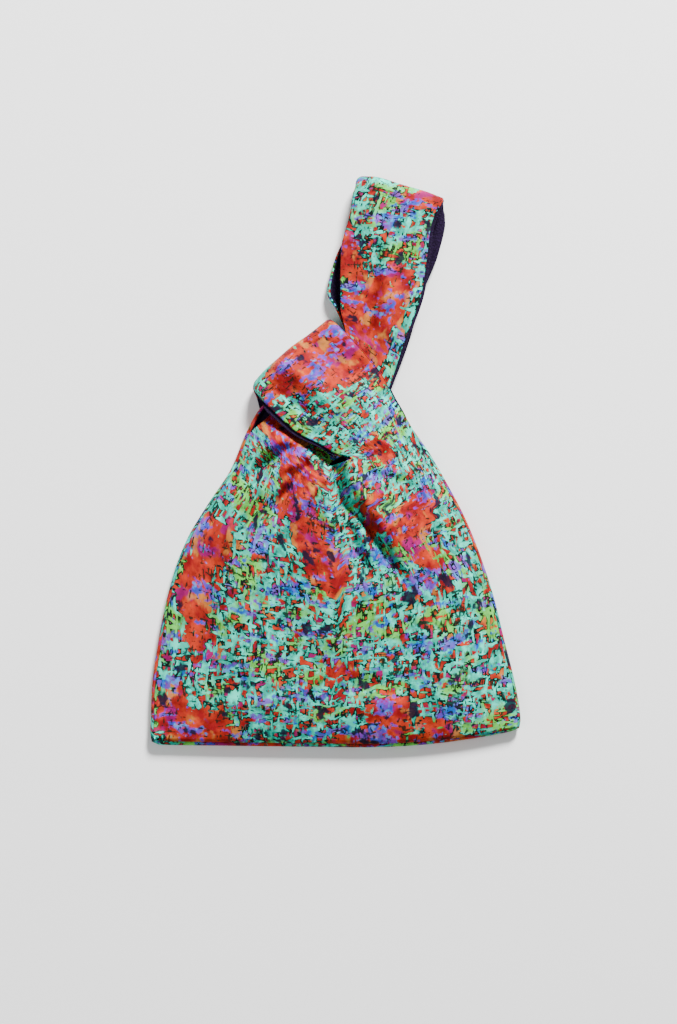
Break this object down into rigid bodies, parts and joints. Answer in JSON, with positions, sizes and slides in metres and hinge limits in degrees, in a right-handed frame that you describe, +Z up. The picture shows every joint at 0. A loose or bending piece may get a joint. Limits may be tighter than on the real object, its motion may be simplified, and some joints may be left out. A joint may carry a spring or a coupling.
{
  "type": "knot bag",
  "caption": "Soft lined knot bag of printed silk, lying on its back, with the long handle pulled through the short one.",
  "frame": {"origin": "on the surface that the bag lies on, under the middle of its bounding box", "axes": "+X across the hem to the short handle's side, +Y from the hem to the top of the long handle, +Z up out of the front"},
  "size_m": [0.2598, 0.3984, 0.033],
  "materials": {
    "printed_silk": "satin silk with a small print",
    "velvet_lining": "dark matte pile"
  },
  "bodies": {
    "root": {"outer_front_panel": "printed_silk", "outer_back_panel": "printed_silk", "lining_front_panel": "velvet_lining", "lining_back_panel": "velvet_lining"}
  },
  "joints": []
}
